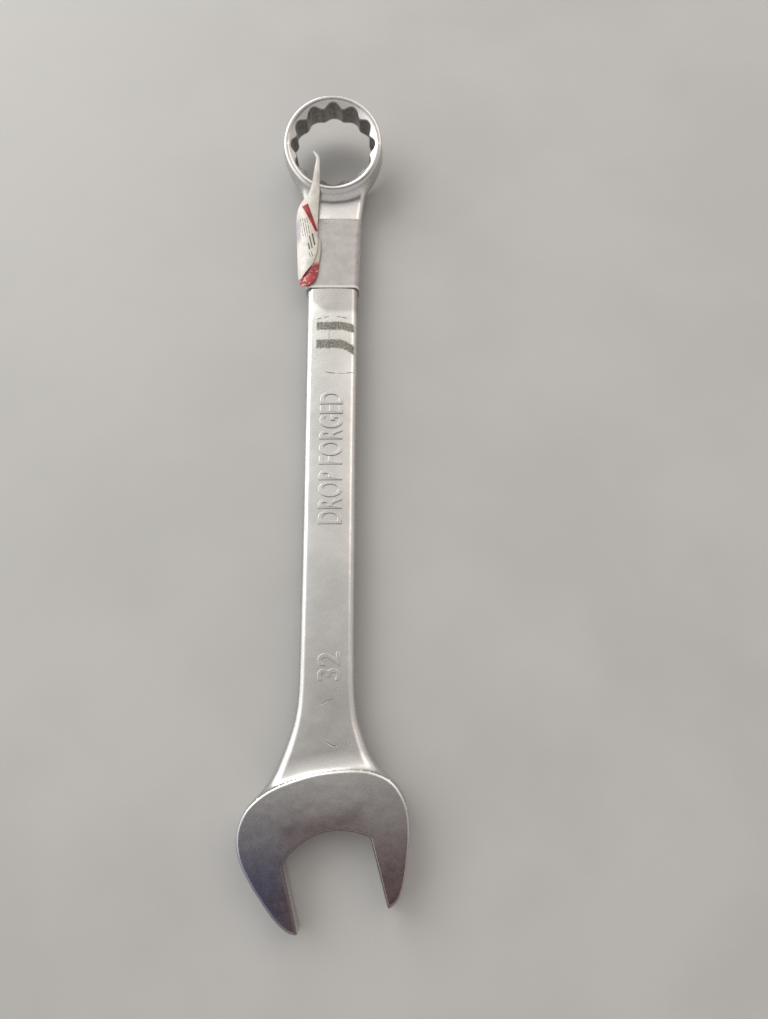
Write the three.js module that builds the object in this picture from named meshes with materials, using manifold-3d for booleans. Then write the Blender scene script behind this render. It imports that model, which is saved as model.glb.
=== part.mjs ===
// A 32 mm combination wrench with its price label, in millimetres, +Z up.
//
// The wrench is one drop forging: an open-end head turned 15 degrees, a slim shank and a
// 12-point ring tilted 15 degrees. It lies as it would on a bench, on the open head and the
// heel of the ring, with the shank along +Y. A clear film band is wrapped round the shank
// below the ring, and a printed paper label is half peeled off the band's left side.
//
// While it is being built, Y = 0 is the middle of the open head and X = 0 is the shank's
// centre line. At the end the whole object is moved so that its box is centred on Z.

import * as THREE from 'three';
import { mergeVertices } from 'three/addons/utils/BufferGeometryUtils.js';
import Module from 'manifold-3d';

const wasm = await Module();
wasm.setup();

const OFFSET_ANGLE = THREE.MathUtils.degToRad( 15 ); // turn of the open head, and tilt of the ring

const HEAD_THICKNESS = 12;
const HEAD_EDGE = 0.6; // chamfer round the open head
const JAW_GAP = 32.2; // 32 mm nut with 0.2 mm of clearance
const JAW_TIP_Y = - 28;
const JAW_TIP_CORNER = 1.2; // small cut on the inner corner of each jaw tip
const JAW_ROOT_Y = - 4.6;
const THROAT_Y = 1.5; // deepest point of the throat arc

const SHANK_THICKNESS = 8.6;
const SHANK_EDGE = 2.6; // rounding of the shank's long edges
const SHANK_HALF_WIDTH = 10.7; // at the open head's end
const SHANK_HALF_WIDTH_TOP = 11.2; // at the ring's end
const SHANK_END_Y = 273;
const MID_Z = HEAD_THICKNESS / 2; // the forging's parting plane

const RING_RADIUS = 22.3;
const RING_THICKNESS = 16.2;
const RING_EDGE = 1.1; // rounding of the ring's outer edges
const RING_LIP = 1.1; // flat lip between the outer edge and the lead-in
const RING_MIDDLE_Y = 296; // middle of the ring, at half of its thickness
const BORE_CREST = 17.2; // inner points of the 12-point bore
const BORE_VALLEY = 19.2; // outer, relieved points
const LEAD_IN_SLOPE = 0.8; // depth of the lead-in for each millimetre of radius
const BORE_POINTS = 12;

const BAND_START_Y = 225;
const BAND_END_Y = 261;
const BAND_HALF_WIDTHS = [ 12.6, 14.2 ]; // outside, at its start and its end
const BAND_GAP = 0.35; // between the film and the shank
const BAND_FILM = 0.3;
const LABEL_PAPER = 0.3;

const RING_MIDDLE_Z = ringHeight();
const NECK_LENGTH = ( RING_MIDDLE_Z - MID_Z ) / Math.sin( OFFSET_ANGLE );

// The ring's middle, with the rounded lower edge of its heel resting at Z = 0.
function ringHeight() {

	const edgeMiddleX = RING_RADIUS - RING_EDGE;
	const edgeMiddleZ = RING_THICKNESS / 2 - RING_EDGE;
	return edgeMiddleX * Math.sin( OFFSET_ANGLE ) + edgeMiddleZ * Math.cos( OFFSET_ANGLE ) + RING_EDGE;

}


// --- helpers ---------------------------------------------------------------------------

function toSolid( geometry ) {

	const bare = geometry.clone();
	bare.deleteAttribute( 'normal' );
	bare.deleteAttribute( 'uv' );
	const welded = mergeVertices( bare, 1e-4 );
	const mesh = new wasm.Mesh( {
		numProp: 3,
		vertProperties: new Float32Array( welded.attributes.position.array ),
		triVerts: new Uint32Array( welded.index.array ),
	} );
	return new wasm.Manifold( mesh );

}

function toGeometry( solid ) {

	const mesh = solid.getMesh();
	const geometry = new THREE.BufferGeometry();
	geometry.setAttribute( 'position', new THREE.BufferAttribute( mesh.vertProperties, 3 ) );
	geometry.setIndex( new THREE.BufferAttribute( mesh.triVerts, 1 ) );
	geometry.computeVertexNormals();
	return geometry;

}

// A flat plate on an outline in XY, with bevelled edges inside the outline and its middle at z.
function plate( shape, thickness, edge, edgeSteps, z ) {

	const geometry = new THREE.ExtrudeGeometry( shape, {
		depth: thickness - 2 * edge,
		bevelThickness: edge,
		bevelSize: edge,
		bevelOffset: - edge,
		bevelSegments: edgeSteps,
		curveSegments: 10,
	} );
	return geometry.translate( 0, 0, z - thickness / 2 + edge );

}

// Moves a ring or neck shape from its own level frame to its tilted place.
function tilt( geometry ) {

	return geometry.rotateX( OFFSET_ANGLE ).translate( 0, RING_MIDDLE_Y, RING_MIDDLE_Z );

}


// --- the forging -----------------------------------------------------------------------

// The open head before it is turned: the mouth opens towards -Y.
function openHeadShape() {

	const half = JAW_GAP / 2;
	const shape = new THREE.Shape();
	shape.moveTo( half, JAW_ROOT_Y );
	shape.lineTo( half, JAW_TIP_Y + JAW_TIP_CORNER );
	shape.lineTo( half + JAW_TIP_CORNER, JAW_TIP_Y );
	shape.bezierCurveTo( 20.2, - 27.8, 22.4, - 23, 24.9, - 18 );
	shape.bezierCurveTo( 27.9, - 12, 31.3, - 4.6, 31.3, 2.6 );
	shape.bezierCurveTo( 31.3, 9.6, 27.9, 13.8, 23, 17 );
	shape.bezierCurveTo( 17.6, 20.4, 8.5, 21.8, 0, 21.8 );
	shape.bezierCurveTo( - 8.5, 21.8, - 17.6, 20.4, - 23, 17 );
	shape.bezierCurveTo( - 27.9, 13.8, - 31.3, 9.6, - 31.3, 2.6 );
	shape.bezierCurveTo( - 31.3, - 4.6, - 27.9, - 12, - 24.9, - 18 );
	shape.bezierCurveTo( - 22.4, - 23, - 20.2, - 27.8, - half - JAW_TIP_CORNER, JAW_TIP_Y );
	shape.lineTo( - half, JAW_TIP_Y + JAW_TIP_CORNER );
	shape.lineTo( - half, JAW_ROOT_Y );
	shape.quadraticCurveTo( 0, 2 * THROAT_Y - JAW_ROOT_Y, half, JAW_ROOT_Y );
	return shape;

}

function openHead() {

	const head = plate( openHeadShape(), HEAD_THICKNESS, HEAD_EDGE, 1, MID_Z );
	return toSolid( head.rotateZ( OFFSET_ANGLE ) );

}

// The shank is nearly parallel, and flares into the open head below and the neck above.
function shankShape() {

	const shape = new THREE.Shape();
	shape.moveTo( - 24, 4 );
	shape.lineTo( 24, 4 );
	shape.lineTo( 24.5, 13.5 );
	shape.bezierCurveTo( 19, 19.5, 16.5, 28, 13.6, 35 );
	shape.bezierCurveTo( 11.8, 40, SHANK_HALF_WIDTH, 44, SHANK_HALF_WIDTH, 52 );
	shape.lineTo( SHANK_HALF_WIDTH_TOP, 235 );
	shape.bezierCurveTo( SHANK_HALF_WIDTH_TOP, 249, 12.6, 256, 14.3, SHANK_END_Y );
	shape.lineTo( - 14.3, SHANK_END_Y );
	shape.bezierCurveTo( - 12.6, 256, - SHANK_HALF_WIDTH_TOP, 249, - SHANK_HALF_WIDTH_TOP, 235 );
	shape.lineTo( - SHANK_HALF_WIDTH, 52 );
	shape.bezierCurveTo( - SHANK_HALF_WIDTH, 44, - 11.8, 40, - 13.6, 35 );
	shape.bezierCurveTo( - 16.5, 28, - 19, 19.5, - 24.5, 13.5 );
	return shape;

}

function shank() {

	return toSolid( plate( shankShape(), SHANK_THICKNESS, SHANK_EDGE, 4, MID_Z ) );

}

// The neck climbs from the shank to the ring. Y = 0 is the middle of the ring.
function neckShape() {

	const shape = new THREE.Shape();
	shape.moveTo( - 14.2, - NECK_LENGTH - 1 );
	shape.lineTo( 14.2, - NECK_LENGTH - 1 );
	shape.lineTo( 16, - 19.5 );
	shape.lineTo( 19, - 12 );
	shape.lineTo( 19, 0 );
	shape.lineTo( - 19, 0 );
	shape.lineTo( - 19, - 12 );
	shape.lineTo( - 16, - 19.5 );
	return shape;

}

function neck() {

	return toSolid( tilt( plate( neckShape(), SHANK_THICKNESS, SHANK_EDGE, 4, 0 ) ) );

}

// The ring's outside, as a solid disc turned about its own axis.
function ringDisc() {

	const half = RING_THICKNESS / 2;
	const profile = new THREE.Path();
	profile.moveTo( 0, - half );
	profile.lineTo( RING_RADIUS - RING_EDGE, - half );
	profile.absarc( RING_RADIUS - RING_EDGE, - half + RING_EDGE, RING_EDGE, - Math.PI / 2, 0 );
	profile.lineTo( RING_RADIUS, half - RING_EDGE );
	profile.absarc( RING_RADIUS - RING_EDGE, half - RING_EDGE, RING_EDGE, 0, Math.PI / 2 );
	profile.lineTo( 0, half );
	const geometry = new THREE.LatheGeometry( profile.getPoints( 4 ), 72 );
	return toSolid( tilt( geometry.rotateX( Math.PI / 2 ) ) );

}

// The cone that is cut into a face of the ring. Up is 1 for the top face and -1 for the bottom.
function leadIn( up ) {

	const half = RING_THICKNESS / 2;
	const mouth = RING_RADIUS - RING_EDGE - RING_LIP;
	const floor = half - ( mouth - BORE_CREST + 1 ) * LEAD_IN_SLOPE;
	const profile = [
		new THREE.Vector2( 0, floor ),
		new THREE.Vector2( BORE_CREST - 1, floor ),
		new THREE.Vector2( mouth, half ),
		new THREE.Vector2( mouth, half + 1 ),
		new THREE.Vector2( 0, half + 1 ),
	];
	const geometry = new THREE.LatheGeometry( profile, 72 );
	return toSolid( tilt( geometry.rotateX( up * Math.PI / 2 ) ) );

}

// The 12-point bore: round relieved valleys between blunt crests.
function boreShape() {

	const points = [];
	const stepsPerPoint = 10;
	const middle = ( BORE_VALLEY + BORE_CREST ) / 2;
	const swing = ( BORE_VALLEY - BORE_CREST ) / 2;
	for ( let i = 0; i < BORE_POINTS * stepsPerPoint; i ++ ) {

		const angle = i / ( BORE_POINTS * stepsPerPoint ) * 2 * Math.PI;
		const wave = Math.cos( BORE_POINTS * angle );
		const radius = middle + swing * ( wave + 0.18 * ( 1 - wave * wave ) );
		points.push( new THREE.Vector2( radius * Math.sin( angle ), radius * Math.cos( angle ) ) );

	}

	return new THREE.Shape( points );

}

function bore() {

	const length = 2 * RING_THICKNESS;
	const geometry = new THREE.ExtrudeGeometry( boreShape(), { depth: length, bevelEnabled: false } );
	return toSolid( tilt( geometry.translate( 0, 0, - length / 2 ) ) );

}

function forging() {

	let solid = shank().add( openHead() ).add( neck() ).add( ringDisc() );
	solid = solid.subtract( bore() ).subtract( leadIn( 1 ) ).subtract( leadIn( - 1 ) );
	solid = solid.subtract( mouthClearance() );
	return toGeometry( solid );

}

// Keeps the mouth of the open head clear of the shank's hidden end.
function mouthClearance() {

	const half = JAW_GAP / 2;
	const shape = new THREE.Shape();
	shape.moveTo( - half, JAW_TIP_Y );
	shape.lineTo( half, JAW_TIP_Y );
	shape.lineTo( half, JAW_ROOT_Y );
	shape.quadraticCurveTo( 0, 2 * THROAT_Y - JAW_ROOT_Y, - half, JAW_ROOT_Y );
	const depth = HEAD_THICKNESS + 2;
	const geometry = new THREE.ExtrudeGeometry( shape, { depth, bevelEnabled: false, curveSegments: 10 } );
	return toSolid( geometry.translate( 0, 0, - 1 ).rotateZ( OFFSET_ANGLE ) );

}


// --- the label -------------------------------------------------------------------------

// One skin of the film band, as a long solid. Inset is how far it lies inside the outermost skin.
function bandSkin( inset ) {

	const reach = 10;
	const slope = ( BAND_HALF_WIDTHS[ 1 ] - BAND_HALF_WIDTHS[ 0 ] ) / ( BAND_END_Y - BAND_START_Y );
	const low = BAND_HALF_WIDTHS[ 0 ] - slope * reach - inset;
	const high = BAND_HALF_WIDTHS[ 1 ] + slope * reach - inset;
	const shape = new THREE.Shape();
	shape.moveTo( - low, BAND_START_Y - reach );
	shape.lineTo( low, BAND_START_Y - reach );
	shape.lineTo( high, BAND_END_Y + reach );
	shape.lineTo( - high, BAND_END_Y + reach );
	const thickness = SHANK_THICKNESS + 2 * ( BAND_GAP + BAND_FILM - inset );
	return toSolid( plate( shape, thickness, SHANK_EDGE, 4, MID_Z ) );

}

function filmBand() {

	const width = BAND_END_Y - BAND_START_Y;
	const slice = new THREE.BoxGeometry( 60, width, 40 );
	slice.translate( 0, BAND_START_Y + width / 2, MID_Z );
	const band = bandSkin( 0 ).intersect( toSolid( slice ) );
	return toGeometry( band.subtract( bandSkin( BAND_FILM ) ) );

}

// The peeled label's left edge, its crest and its right edge, from its lower corner to the tip.
const LABEL_LEFT = [
	[ - 13.4, 225.6, 7.5 ], [ - 14.9, 234.5, 8 ], [ - 15.8, 246, 8.8 ], [ - 16.2, 255.5, 10.2 ],
	[ - 15.2, 263.6, 12 ], [ - 12.3, 270.5, 14.7 ], [ - 9, 279, 17.8 ], [ - 7.9, 288.3, 22.4 ],
];
const LABEL_CREST = [
	[ - 13, 225.3, 12.1 ], [ - 12.4, 234.5, 14.4 ], [ - 12, 246, 15.2 ], [ - 11.6, 255.5, 15.4 ],
	[ - 11, 263.6, 15.8 ], [ - 9, 270.5, 17 ], [ - 7.4, 279, 18.8 ], [ - 7.7, 288.3, 22.6 ],
];
const LABEL_RIGHT = [
	[ - 12.2, 225, 11.5 ], [ - 7.9, 234, 11.5 ], [ - 6.3, 245, 11.5 ], [ - 6, 255, 11.5 ],
	[ - 5.9, 263, 12.6 ], [ - 5.7, 270.5, 14.9 ], [ - 5.5, 279, 18 ], [ - 7.5, 288.3, 22.8 ],
];

function curveThrough( points ) {

	return new THREE.CatmullRomCurve3( points.map( ( point ) => new THREE.Vector3( ...point ) ) );

}

// A thin slab is bent over the three curves: along Y it follows them, and across it arches
// from the left edge over the crest to the right edge.
function printedLabel() {

	const left = curveThrough( LABEL_LEFT );
	const crest = curveThrough( LABEL_CREST );
	const right = curveThrough( LABEL_RIGHT );
	const geometry = new THREE.BoxGeometry( 1, 1, 1, 8, 28, 1 );
	const position = geometry.attributes.position;
	for ( let i = 0; i < position.count; i ++ ) {

		const along = position.getY( i ) + 0.5;
		const arch = new THREE.QuadraticBezierCurve3(
			left.getPoint( along ), crest.getPoint( along ), right.getPoint( along ) );
		const across = position.getX( i ) + 0.5;
		const point = arch.getPoint( across );
		const slope = arch.getTangent( across );
		const lift = position.getZ( i ) * LABEL_PAPER;
		position.setXYZ( i, point.x - slope.z * lift, point.y, point.z + slope.x * lift );

	}

	return geometry;

}


// --- materials and assembly ------------------------------------------------------------

function satinChrome() {

	return new THREE.MeshStandardMaterial( { color: 0xb9b7b2, roughness: 0.32, metalness: 1 } );

}

function frostedFilm() {

	return new THREE.MeshStandardMaterial( { color: 0xd6d4cf, roughness: 0.4, metalness: 0 } );

}

function printedPaper() {

	return new THREE.MeshStandardMaterial( { color: 0xd9d6cc, roughness: 0.6, metalness: 0 } );

}

function namedMesh( name, geometry, material ) {

	const mesh = new THREE.Mesh( geometry, material );
	mesh.name = name;
	return mesh;

}

const wrench = new THREE.Group();
wrench.add( namedMesh( 'wrench_forging', forging(), satinChrome() ) );
wrench.add( namedMesh( 'label_film_band', filmBand(), frostedFilm() ) );
wrench.add( namedMesh( 'printed_label', printedLabel(), printedPaper() ) );

const box = new THREE.Box3().setFromObject( wrench );
const middle = box.getCenter( new THREE.Vector3() );
wrench.position.set( - middle.x, - middle.y, - box.min.z );

export default wrench;
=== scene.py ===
import math

import bmesh
import bpy
import numpy as np
from mathutils import Matrix, Vector


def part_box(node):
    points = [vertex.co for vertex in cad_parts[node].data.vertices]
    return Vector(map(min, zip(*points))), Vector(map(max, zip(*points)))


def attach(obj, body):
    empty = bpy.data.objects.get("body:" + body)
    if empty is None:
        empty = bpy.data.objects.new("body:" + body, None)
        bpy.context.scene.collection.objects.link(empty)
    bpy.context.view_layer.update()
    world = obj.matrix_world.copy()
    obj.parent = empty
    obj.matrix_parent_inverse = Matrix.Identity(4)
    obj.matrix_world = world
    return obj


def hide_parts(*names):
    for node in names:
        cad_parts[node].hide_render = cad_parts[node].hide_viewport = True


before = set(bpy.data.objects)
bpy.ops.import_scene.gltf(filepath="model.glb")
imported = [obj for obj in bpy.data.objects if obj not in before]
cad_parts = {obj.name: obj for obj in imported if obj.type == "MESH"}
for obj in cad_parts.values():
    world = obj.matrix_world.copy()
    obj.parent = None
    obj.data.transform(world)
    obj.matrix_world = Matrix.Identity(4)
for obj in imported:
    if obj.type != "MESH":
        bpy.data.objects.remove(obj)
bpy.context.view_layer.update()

MM = 0.001

# Driving sizes in millimetres. While it is modelled, Y = 0 is the middle of the open head,
# X = 0 is the shank's centre line and Z = 0 is the surface it lies on.
TILT = math.radians(15)  # turn of the open head, and tilt of the ring
HEAD_HALF = 6.0  # half of the open head's thickness
MID_Z = 6.0  # parting plane of the head and the shank
FACE_BAND = (11.6, 11.9)  # heights between which the head's top face begins
HEAD_CHAMFER = 0.6
HEAD_SHIFT = 0.55  # the head's outline sits this far to the right of its mouth
HEAD_BULGE = 0.4  # how far its rim is rounded outwards at mid height
JAW_HALF_GAP = 16.1
THROAT_Y = 1.6  # deepest point of the throat, in the head's own frame
THROAT_DROP = 6.0  # how much lower the throat is at the jaws
SHANK_HALF = 4.3
SHANK_CORNER = 2.5
CORNER_GROWTH = 1.2  # how much rounder the corners are beside the open head
SHANK_CROWN = 0.11  # how much thinner the shank is at its edges
FILLET_RISE = 1.7  # how far the fillet climbs up the head's edge
FILLET_SLOPE = 0.24  # its rise over its run
FILLET_END = 60.0
SHANK_START = 8.0  # hidden inside the open head
SHANK_END = 288.0  # hidden inside the ring
NECK_START = 269.5  # where the shank turns up towards the ring
NECK_BEND = 3.2  # how softly it turns
NECK_SWELL = 0.7  # extra half thickness at the ring
NECK_SWELL_Y = 268.0  # where half of it is reached
NECK_SWELL_RUN = 6.0  # how gradually it comes
NECK_BLEND = 2.4  # size of the blend from the neck to the ring
NECK_BLEND_TOP = 4.6  # added to it on top
RING_RADIUS = 22.3
RING_HALF = 8.1
RING_EDGE = 1.1
RING_BULGE = 0.25  # how far its wall is rounded outwards at mid height
RING_Y = 296.0
RING_Z = (RING_RADIUS - RING_EDGE) * math.sin(TILT) + (RING_HALF - RING_EDGE) * math.cos(TILT) + RING_EDGE
BORE_CREST = 17.2
BORE_VALLEY = 19.2
LEAD_IN_RADIUS = 20.1
LEAD_IN_SLOPE = 0.8
BORE_POINTS = 12
BORE_BLUNTNESS = 0.22  # flattens the inner points of the bore
BAND_START = 225.0
BAND_END = 261.0
BAND_HALF_WIDTH = 11.75  # outside, at its start
BAND_WIDENING = 1.25  # from its start to its end
BAND_RISE = 0.24  # how far its outside stands above the shank
BAND_CORNER = 2.7
FILM = 0.14
PAPER = 0.13
MARK_HEIGHT = 0.46  # relief of the raised characters
MARK_EXTRUDE = 0.30
MARK_BEVEL = 0.14
MARK_OFFSET = 0.05
FINE_STEP = 0.47  # grid step at the two ends of the forging
LONG_STEP = 1.96  # grid step along the plain shank


# --- smooth curves and blends used by the forging's field -----------------------------------

class Spline:
    """A natural cubic spline through (t, value) knots, or a periodic one when period is given."""

    def __init__(self, knots, period=None):
        t, v = np.array(knots, float).T
        if period:
            t = np.concatenate([t[-4:] - period, t, t[:4] + period])
            v = np.concatenate([v[-4:], v, v[:4]])
        n = len(t)
        h = np.diff(t)
        a = np.eye(n)
        b = np.zeros(n)
        for i in range(1, n - 1):
            a[i, i - 1:i + 2] = h[i - 1], 2 * (h[i - 1] + h[i]), h[i]
            b[i] = 6 * ((v[i + 1] - v[i]) / h[i] - (v[i] - v[i - 1]) / h[i - 1])
        self.t, self.v, self.h, self.m = t, v, h, np.linalg.solve(a, b)

    def __call__(self, x):
        """Returns the value and the slope at x."""
        x = np.clip(x, self.t[0], self.t[-1])
        i = np.clip(np.searchsorted(self.t, x) - 1, 0, len(self.h) - 1)
        h, left, right = self.h[i], self.m[i], self.m[i + 1]
        a, b = self.t[i + 1] - x, x - self.t[i]
        p, q = self.v[i] / h - left * h / 6, self.v[i + 1] / h - right * h / 6
        value = (left * a ** 3 + right * b ** 3) / (6 * h) + p * a + q * b
        slope = (right * b ** 2 - left * a ** 2) / (2 * h) - p + q
        return value, slope


def blend_min(a, b, k):
    w = np.clip(0.5 + 0.5 * (b - a) / k, 0, 1)
    return b + (a - b) * w - k * w * (1 - w)


def blend_max(a, b, k):
    return -blend_min(-a, -b, k)


# Outline of the open head: its radius against the angle from its top, clockwise in degrees.
HEAD_OUTLINE = [
    (0, 21.8), (18, 22.2), (32, 23.7), (44, 26.0), (52, 27.7), (60, 29.3), (68, 30.6), (76, 31.1),
    (83, 31.15), (91, 30.75), (99, 30.25), (108, 30.0), (117, 30.1), (126, 30.8), (134, 31.8),
    (140, 32.7), (145, 33.0), (150, 32.4), (160, 30.6), (180, 29.6), (200, 30.4), (210.5, 32.2),
    (215, 32.75), (220, 32.5), (226, 31.8), (233, 30.9), (242, 30.1), (252, 29.95), (262, 30.35),
    (270, 31.0), (278, 31.4), (285, 31.55), (291, 31.35), (297, 30.8), (304, 29.8), (310, 28.55),
    (316, 27.3), (328, 24.9), (342, 22.8),
]
# The shank's left and right edges, as distances from its centre line along Y.
SHANK_LEFT = [
    (5, 27.6), (10.9, 26.4), (13.4, 24.3), (16.2, 22.1), (19.2, 20.2), (22.5, 18.5), (26.5, 16.8),
    (30, 15.4), (33.5, 14.15), (37, 13.0), (41, 11.95), (45, 11.25), (51, 10.75), (60, 10.6),
    (90, 10.62), (150, 10.75), (215, 11.0), (238, 11.1), (248, 11.45), (256, 12.2), (263.5, 13.0),
    (271, 14.0), (278, 15.2), (287, 17.5), (296, 20),
]
SHANK_RIGHT = [
    (5, 28.6), (14.3, 28.0), (16.9, 26.3), (19.2, 24.2), (21.3, 22.2), (23.2, 20.4), (25.6, 18.5),
    (28, 16.9), (30.4, 15.7), (33.5, 14.5), (37, 13.3), (41, 12.15), (45, 11.45), (51, 10.9), (60, 10.7),
    (90, 10.72), (150, 10.9), (215, 11.2), (238, 11.3), (248, 11.65), (256, 12.4), (263.5, 13.2),
    (271, 14.2), (278, 15.4), (287, 17.7), (296, 20.2),
]

head_radius = Spline([(math.radians(a), r) for a, r in HEAD_OUTLINE], period=2 * math.pi)
shank_left = Spline(SHANK_LEFT)
shank_right = Spline(SHANK_RIGHT)


def step(value, start, end):
    """Rises smoothly from 0 at start to 1 at end."""
    t = np.clip((value - start) / (end - start), 0, 1)
    return t * t * (3 - 2 * t)


def chamfered(plan, depth, cut):
    """Joins a plan distance and a depth distance with a small flat chamfer along the edge."""
    bevel = (plan + depth + cut) * math.sqrt(0.5)
    return blend_max(blend_max(plan, depth, 0.15), bevel, 0.25)


def mouth_field(x, y):
    """Negative inside the mouth of the open head, in the head's own turned frame."""
    throat = THROAT_Y - THROAT_DROP * (x / JAW_HALF_GAP) ** 2
    slope = -2 * THROAT_DROP * x / JAW_HALF_GAP ** 2
    under = (y - throat) / np.sqrt(1 + slope ** 2)
    return blend_max(np.abs(x) - JAW_HALF_GAP, under, 0.8)


def head_field(x, y, z):
    """The open head, its mouth, and the distance outside its outline."""
    u = x * math.cos(TILT) + y * math.sin(TILT)
    v = -x * math.sin(TILT) + y * math.cos(TILT)
    mouth = mouth_field(u, v)
    radius = np.hypot(u - HEAD_SHIFT, v)
    outline, slope = head_radius(np.mod(np.arctan2(u - HEAD_SHIFT, v), 2 * math.pi))
    level = (z - MID_Z) / HEAD_HALF
    outside = (radius - outline) / np.sqrt(1 + (slope / outline) ** 2)
    plan = blend_max(outside - HEAD_BULGE * (1 - level ** 2), -mouth, 0.8)
    return chamfered(plan, np.abs(z - MID_Z) - HEAD_HALF, HEAD_CHAMFER), mouth, outside


def shank_field(x, y, z):
    """The shank with its neck, which turns up towards the ring."""
    left, left_slope = shank_left(y)
    right, right_slope = shank_right(y)
    width = np.where(x < 0, left, right)
    slope = np.where(x < 0, left_slope, right_slope)
    corner = SHANK_CORNER + CORNER_GROWTH * step(y, 50, 22)
    bend = (y - NECK_START) / NECK_BEND
    rise = np.logaddexp(0, bend) * NECK_BEND * math.tan(TILT)
    across = x / width
    swell = NECK_SWELL / (1 + np.exp(-(y - NECK_SWELL_Y) / NECK_SWELL_RUN))
    half = SHANK_HALF * (1 - SHANK_CROWN * across ** 2) + swell
    side = (np.abs(x) - width) / np.sqrt(1 + slope ** 2)
    climb = 1 / np.sqrt(1 + (math.tan(TILT) / (1 + np.exp(-(y - NECK_START) / NECK_BEND))) ** 2)
    deep = (np.abs(z - MID_Z - rise) - half) * climb
    a, b = side + corner, deep + corner
    body = np.hypot(np.maximum(a, 0), np.maximum(b, 0)) + np.minimum(np.maximum(a, b), 0) - corner
    return np.maximum(np.maximum(body, SHANK_START - y), y - SHANK_END)


def ring_field(x, y, z):
    """The ring's solid disc, its two lead-in cones and its 12-point bore."""
    v = (y - RING_Y) * math.cos(TILT) + (z - RING_Z) * math.sin(TILT)
    n = -(y - RING_Y) * math.sin(TILT) + (z - RING_Z) * math.cos(TILT)
    radius = np.hypot(x, v)
    depth = np.abs(n) - RING_HALF
    side = radius - RING_RADIUS - RING_BULGE * (1 - (n / RING_HALF) ** 2)
    a, b = side + RING_EDGE, depth + RING_EDGE
    disc = np.hypot(np.maximum(a, 0), np.maximum(b, 0)) + np.minimum(np.maximum(a, b), 0) - RING_EDGE
    cone = (depth + (LEAD_IN_RADIUS - radius) * LEAD_IN_SLOPE) / math.hypot(1, LEAD_IN_SLOPE)
    angle = np.arctan2(x, v)
    wave = np.cos(BORE_POINTS * angle)
    middle, swing = (BORE_VALLEY + BORE_CREST) / 2, (BORE_VALLEY - BORE_CREST) / 2
    wall = middle + swing * (wave + BORE_BLUNTNESS * (1 - wave ** 2))
    slope = swing * -BORE_POINTS * np.sin(BORE_POINTS * angle) * (1 - 2 * BORE_BLUNTNESS * wave) / wall
    bore = (wall - radius) / np.sqrt(1 + slope ** 2)
    return disc, cone, bore


def forging_field(x, y, z):
    """Negative inside the forging, positive outside, about the distance in between."""
    head, mouth, outside = head_field(x, y, z)
    disc, cone, bore = ring_field(x, y, z)
    shank = shank_field(x, y, z)
    fillet = blend_min(shank, outside * FILLET_SLOPE, FILLET_RISE)
    below_face = np.abs(z - MID_Z) - HEAD_HALF + HEAD_CHAMFER - 0.15
    fillet = np.maximum(np.maximum(fillet, below_face), SHANK_START - y)
    body = np.minimum(head, np.where(y < FILLET_END, fillet, shank))
    # The neck runs softly into the ring on top, and more tightly underneath.
    body = blend_min(body, disc, NECK_BLEND + NECK_BLEND_TOP * step(z, 7.0, 11.0))
    body = np.maximum(body, -mouth)
    body = blend_max(body, cone, 0.5)
    return blend_max(body, bore, 0.25)


# --- turning the field into a mesh -----------------------------------------------------------

def grid_lines(stops):
    """Grid coordinates from (start, end, step) stretches that follow on from each other."""
    lines = [np.arange(a, b - step / 2, step) for a, b, step in stops]
    return np.append(np.concatenate(lines), stops[-1][1])


def surface_nets(field, xs, ys, zs):
    """Meshes the zero surface of a field on a grid, with one vertex in each crossed cell."""
    x, y, z = np.meshgrid(xs, ys, zs, indexing="ij", sparse=True)
    value = np.empty((len(xs), len(ys), len(zs)), np.float32)
    for j in range(0, len(ys), 40):
        value[:, j:j + 40] = field(x, y[:, j:j + 40], z)
    solid = value < 0
    count = np.zeros([n - 1 for n in value.shape], np.int8)
    corners = [(a, b, c) for a in (0, 1) for b in (0, 1) for c in (0, 1)]
    nx, ny, nz = count.shape
    for a, b, c in corners:
        count += solid[a:a + nx, b:b + ny, c:c + nz]
    crossed = (count > 0) & (count < 8)
    cells = np.argwhere(crossed)
    index = np.full(count.shape, -1, np.int32)
    index[crossed] = np.arange(len(cells))
    total = np.zeros((len(cells), 3))
    hits = np.zeros(len(cells))
    i, j, k = cells.T
    spots = [np.array([xs[i + a], ys[j + b], zs[k + c]]).T for a, b, c in corners]
    values = [value[i + a, j + b, k + c].astype(float) for a, b, c in corners]
    for first, p in enumerate(corners):
        for second, q in enumerate(corners):
            if second <= first or sum(abs(s - t) for s, t in zip(p, q)) != 1:
                continue
            near, far = values[first], values[second]
            cut = (near < 0) != (far < 0)
            share = near[cut] / (near[cut] - far[cut])
            total[cut] += spots[first][cut] + (spots[second][cut] - spots[first][cut]) * share[:, None]
            hits[cut] += 1
    vertices = total / hits[:, None]
    quads = []
    for axis in range(3):
        one, two = [k for k in range(3) if k != axis]
        low, high = [slice(None)] * 3, [slice(None)] * 3
        low[axis], high[axis] = slice(0, -1), slice(1, None)
        change = solid[tuple(low)].astype(np.int8) - solid[tuple(high)].astype(np.int8)
        edges = np.argwhere(change != 0)
        sign = change[tuple(edges.T)] > 0
        ring = []
        for s, t in ((0, 0), (1, 0), (1, 1), (0, 1)):
            cell = edges.copy()
            cell[:, one] -= s
            cell[:, two] -= t
            ring.append(index[tuple(cell.T)])
        face = np.array(ring).T
        flip = ~sign if axis != 1 else sign
        face[flip] = face[flip][:, ::-1]
        quads.append(face)
    return vertices, np.concatenate(quads)


def gradient(field, points, step=0.01):
    slope = np.empty_like(points)
    for axis in range(3):
        ahead, behind = points.copy(), points.copy()
        ahead[:, axis] += step
        behind[:, axis] -= step
        slope[:, axis] = (field(*ahead.T) - field(*behind.T)) / (2 * step)
    return slope


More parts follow.
